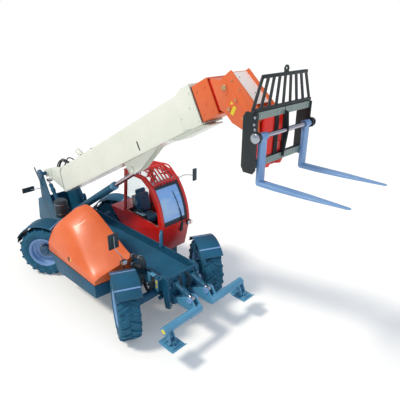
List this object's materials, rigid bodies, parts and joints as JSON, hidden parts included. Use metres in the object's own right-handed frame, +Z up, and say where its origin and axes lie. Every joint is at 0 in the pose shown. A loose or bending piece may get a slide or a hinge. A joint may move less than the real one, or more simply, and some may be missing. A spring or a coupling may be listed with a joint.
{
  "type": "telehandler",
  "caption": "Telescopic handler with a raised boom, pallet forks, front stabilizers, side cab and four steered wheels.",
  "frame": {"origin": "on the ground at the bottom centre of the bounding box, between the axles", "axes": "+X forward towards the forks, +Y to the machine's left, +Z up"},
  "size_m": [8.17, 3.0158, 4.895],
  "materials": {
    "chassis_paint": "satin",
    "fender_paint": "satin",
    "rim_paint": "satin",
    "tyre_rubber": "matte",
    "orange_paint": "gloss",
    "cab_red_paint": "gloss",
    "boom_paint": "gloss",
    "carriage_paint": "satin",
    "fork_paint": "satin",
    "chrome_rod": "polished",
    "engine_iron": "matte",
    "black_plastic": "matte",
    "clear_glass": "gloss",
    "seat_fabric": "matte",
    "lamp_plastic": "gloss"
  },
  "bodies": {
    "chassis": {"frame_chassis": "chassis_paint", "axle_front": "chassis_paint", "axle_rear": "chassis_paint", "pod_tray": "chassis_paint", "air_cleaner": "black_plastic", "engine_block": "engine_iron", "intake_elbow": "black_plastic", "cab_shell": "cab_red_paint", "cab_glass": "clear_glass", "roof_guard": "cab_red_paint", "seat": "seat_fabric", "dashboard": "black_plastic", "tank_left": "chassis_paint", "lamps": "lamp_plastic", "mirrors": "black_plastic"},
    "hood": {"hood": "orange_paint"},
    "door": {"cab_door": "cab_red_paint", "door_glass": "clear_glass"},
    "steer_front_left": {"knuckle_front_left": "fender_paint"},
    "wheel_front_left": {"rim_front_left": "rim_paint", "tyre_front_left": "tyre_rubber"},
    "steer_front_right": {"knuckle_front_right": "fender_paint"},
    "wheel_front_right": {"rim_front_right": "rim_paint", "tyre_front_right": "tyre_rubber"},
    "steer_rear_left": {"knuckle_rear_left": "fender_paint"},
    "wheel_rear_left": {"rim_rear_left": "rim_paint", "tyre_rear_left": "tyre_rubber"},
    "steer_rear_right": {"knuckle_rear_right": "fender_paint"},
    "wheel_rear_right": {"rim_rear_right": "rim_paint", "tyre_rear_right": "tyre_rubber"},
    "boom": {"boom_outer": "boom_paint"},
    "boom_second": {"boom_mid": "orange_paint"},
    "boom_third": {"boom_inner": "boom_paint", "boom_head": "orange_paint"},
    "carriage": {"carriage": "carriage_paint", "carriage_guard": "carriage_paint", "fork_shaft": "chrome_rod", "coupler": "orange_paint"},
    "fork_left": {"fork_left": "fork_paint"},
    "fork_right": {"fork_right": "fork_paint"},
    "lift_barrel": {"lift_barrel": "chassis_paint"},
    "lift_rod": {"lift_rod": "chrome_rod"},
    "comp_barrels": {"comp_barrels": "chassis_paint"},
    "comp_rods": {"comp_rods": "chrome_rod"},
    "stab_arm_left": {"stabilizer_arm_left": "chassis_paint"},
    "stab_pad_left": {"stabilizer_pad_left": "chassis_paint"},
    "stab_barrel_left": {"stabilizer_barrel_left": "chassis_paint"},
    "stab_rod_left": {"stabilizer_rod_left": "chrome_rod"},
    "stab_arm_right": {"stabilizer_arm_right": "chassis_paint"},
    "stab_pad_right": {"stabilizer_pad_right": "chassis_paint"},
    "stab_barrel_right": {"stabilizer_barrel_right": "chassis_paint"},
    "stab_rod_right": {"stabilizer_rod_right": "chrome_rod"}
  },
  "joints": [
    {"name": "steer_front_left", "type": "hinge", "parent": "chassis", "child": "steer_front_left", "pos_m": [0.53, 0.905, 0.597], "axis": [0, 0, 1], "range_deg": [-13.3, 66.7]},
    {"name": "steer_front_right", "type": "hinge", "parent": "chassis", "child": "steer_front_right", "pos_m": [0.53, -0.905, 0.597], "axis": [0, 0, 1], "range_deg": [-13.3, 66.7]},
    {"name": "steer_rear_left", "type": "hinge", "parent": "chassis", "child": "steer_rear_left", "pos_m": [-2.55, 0.905, 0.597], "axis": [0, 0, 1], "range_deg": [-75.6, 4.4]},
    {"name": "steer_rear_right", "type": "hinge", "parent": "chassis", "child": "steer_rear_right", "pos_m": [-2.55, -0.905, 0.597], "axis": [0, 0, 1], "range_deg": [-75.6, 4.4]},
    {"name": "spin_front_left", "type": "hinge", "parent": "steer_front_left", "child": "wheel_front_left", "pos_m": [0.58392, 1.0122, 0.597], "axis": [0.4493, 0.8934, 0], "continuous": true},
    {"name": "spin_front_right", "type": "hinge", "parent": "steer_front_right", "child": "wheel_front_right", "pos_m": [0.47608, -1.0122, 0.597], "axis": [0.4493, 0.8934, 0], "continuous": true},
    {"name": "spin_rear_left", "type": "hinge", "parent": "steer_rear_left", "child": "wheel_rear_left", "pos_m": [-2.61985, 1.00257, 0.597], "axis": [-0.5821, 0.8131, 0], "continuous": true},
    {"name": "spin_rear_right", "type": "hinge", "parent": "steer_rear_right", "child": "wheel_rear_right", "pos_m": [-2.48015, -1.00257, 0.597], "axis": [-0.5821, 0.8131, 0], "continuous": true},
    {"name": "boom_lift", "type": "hinge", "parent": "chassis", "child": "boom", "pos_m": [-3.6, 0, 1.96], "axis": [0, -1, 0], "range_deg": [-28, 38]},
    {"name": "boom_extend", "type": "slide", "parent": "boom", "child": "boom_second", "axis": [0.8829, 0, 0.4695], "range_m": [0, 2.6]},
    {"name": "head_extend", "type": "slide", "parent": "boom_second", "child": "boom_third", "axis": [0.8829, 0, 0.4695], "range_m": [0, 2.6]},
    {"name": "carriage_tilt", "type": "hinge", "parent": "boom_third", "child": "carriage", "pos_m": [2.5, 0, 4.09], "axis": [0, 1, 0], "range_deg": [-45, 95]},
    {"name": "fork_shift_left", "type": "slide", "parent": "carriage", "child": "fork_left", "axis": [0, 1, 0], "range_m": [-0.41, 0.015]},
    {"name": "fork_shift_right", "type": "slide", "parent": "carriage", "child": "fork_right", "axis": [0, -1, 0], "range_m": [-0.41, 0.015]},
    {"name": "lift_barrel_swing", "type": "hinge", "parent": "chassis", "child": "lift_barrel", "pos_m": [-3, 0, 1], "axis": [0, -1, 0], "range_deg": [-26.89, 36.49]},
    {"name": "lift_rod_slide", "type": "slide", "parent": "lift_barrel", "child": "lift_rod", "axis": [0.8391, 0, 0.544], "range_m": [-0.52879, 0.71728]},
    {"name": "comp_barrel_swing", "type": "hinge", "parent": "chassis", "child": "comp_barrels", "pos_m": [-3.02, 0, 1.34], "axis": [0, -1, 0], "range_deg": [-9.89, 7.29]},
    {"name": "comp_rod_slide", "type": "slide", "parent": "comp_barrels", "child": "comp_rods", "axis": [-0.5975, 0, 0.8019], "range_m": [-0.04987, 0.06732]},
    {"name": "stabilizer_left", "type": "hinge", "parent": "chassis", "child": "stab_arm_left", "pos_m": [1.03, 0.21, 0.62], "axis": [0, 1, 0], "range_deg": [-6, 47]},
    {"name": "pad_level_left", "type": "hinge", "parent": "stab_arm_left", "child": "stab_pad_left", "pos_m": [1.655, 0.935, 0.47], "axis": [0, 1, 0], "range_deg": [-47, 6]},
    {"name": "stab_barrel_swing_left", "type": "hinge", "parent": "chassis", "child": "stab_barrel_left", "pos_m": [0.975, 0.21, 0.93], "axis": [0, 1, 0], "range_deg": [-3.85, 30.09]},
    {"name": "stab_rod_slide_left", "type": "slide", "parent": "stab_barrel_left", "child": "stab_rod_left", "axis": [0.9681, 0, -0.2506], "range_m": [-0.02718, 0.20608]},
    {"name": "stabilizer_right", "type": "hinge", "parent": "chassis", "child": "stab_arm_right", "pos_m": [1.03, -0.21, 0.62], "axis": [0, 1, 0], "range_deg": [-6, 47]},
    {"name": "pad_level_right", "type": "hinge", "parent": "stab_arm_right", "child": "stab_pad_right", "pos_m": [1.655, -0.935, 0.47], "axis": [0, 1, 0], "range_deg": [-47, 6]},
    {"name": "stab_barrel_swing_right", "type": "hinge", "parent": "chassis", "child": "stab_barrel_right", "pos_m": [0.975, -0.21, 0.93], "axis": [0, 1, 0], "range_deg": [-3.85, 30.09]},
    {"name": "stab_rod_slide_right", "type": "slide", "parent": "stab_barrel_right", "child": "stab_rod_right", "axis": [0.9681, 0, -0.2506], "range_m": [-0.02718, 0.20608]},
    {"name": "hood_lid", "type": "hinge", "parent": "chassis", "child": "hood", "pos_m": [-1.975, -0.69, 1.3], "axis": [0, -1, 0], "range_deg": [0, 50]},
    {"name": "cab_door", "type": "hinge", "parent": "chassis", "child": "door", "pos_m": [-1.28, 1.206, 1.4], "axis": [0, 0, 1], "range_deg": [0, 100]}
  ],
  "couplings": [
    {"joint": "steer_front_right", "follows": "steer_front_left", "ratio": 1},
    {"joint": "steer_rear_right", "follows": "steer_rear_left", "ratio": 1},
    {"joint": "head_extend", "follows": "boom_extend", "ratio": 1},
    {"joint": "lift_barrel_swing", "follows": "boom_lift", "ratio": 0.96},
    {"joint": "lift_rod_slide", "follows": "boom_lift", "m_per_rad": 1.08},
    {"joint": "comp_barrel_swing", "follows": "boom_lift", "ratio": -0.26},
    {"joint": "comp_rod_slide", "follows": "boom_lift", "m_per_rad": 0.1},
    {"joint": "pad_level_left", "follows": "stabilizer_left", "ratio": -1},
    {"joint": "stab_barrel_swing_left", "follows": "stabilizer_left", "ratio": 0.64},
    {"joint": "stab_rod_slide_left", "follows": "stabilizer_left", "m_per_rad": 0.25},
    {"joint": "pad_level_right", "follows": "stabilizer_right", "ratio": -1},
    {"joint": "stab_barrel_swing_right", "follows": "stabilizer_right", "ratio": 0.64},
    {"joint": "stab_rod_slide_right", "follows": "stabilizer_right", "m_per_rad": 0.25}
  ]
}
